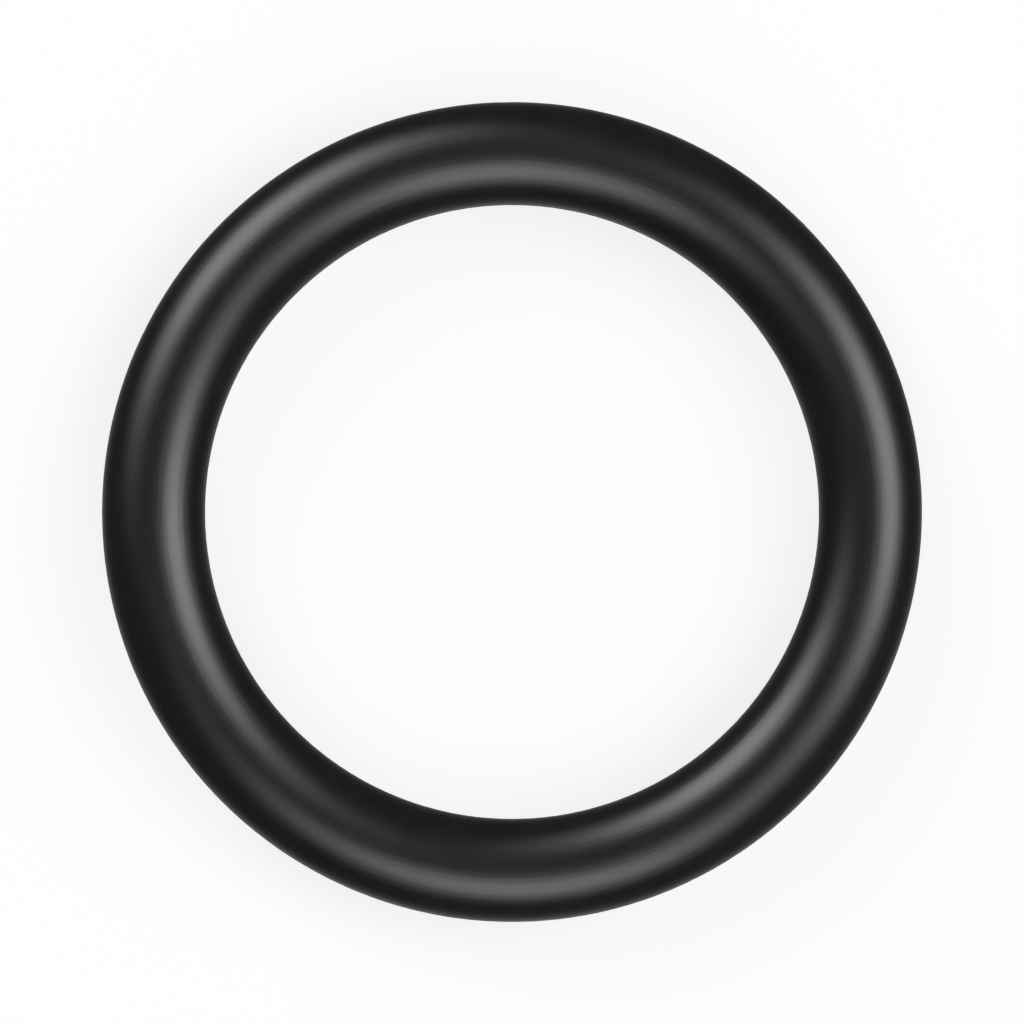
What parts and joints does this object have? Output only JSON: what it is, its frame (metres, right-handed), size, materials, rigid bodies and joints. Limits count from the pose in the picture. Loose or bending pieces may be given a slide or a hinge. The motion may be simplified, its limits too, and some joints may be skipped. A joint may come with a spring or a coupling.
{
  "type": "rubber o-ring",
  "caption": "Plain black rubber sealing ring of round section, moulded in one piece, that seals between a rod or groove and a bore.",
  "frame": {"origin": "centre of the ring, on its axis and in the middle plane of its section", "axes": "+Z along the ring's axis; the ring lies flat, so X and Y run across it"},
  "size_m": [0.024, 0.024, 0.003],
  "materials": {
    "rubber": "satin"
  },
  "bodies": {
    "root": {"o_ring": "rubber"}
  },
  "joints": []
}
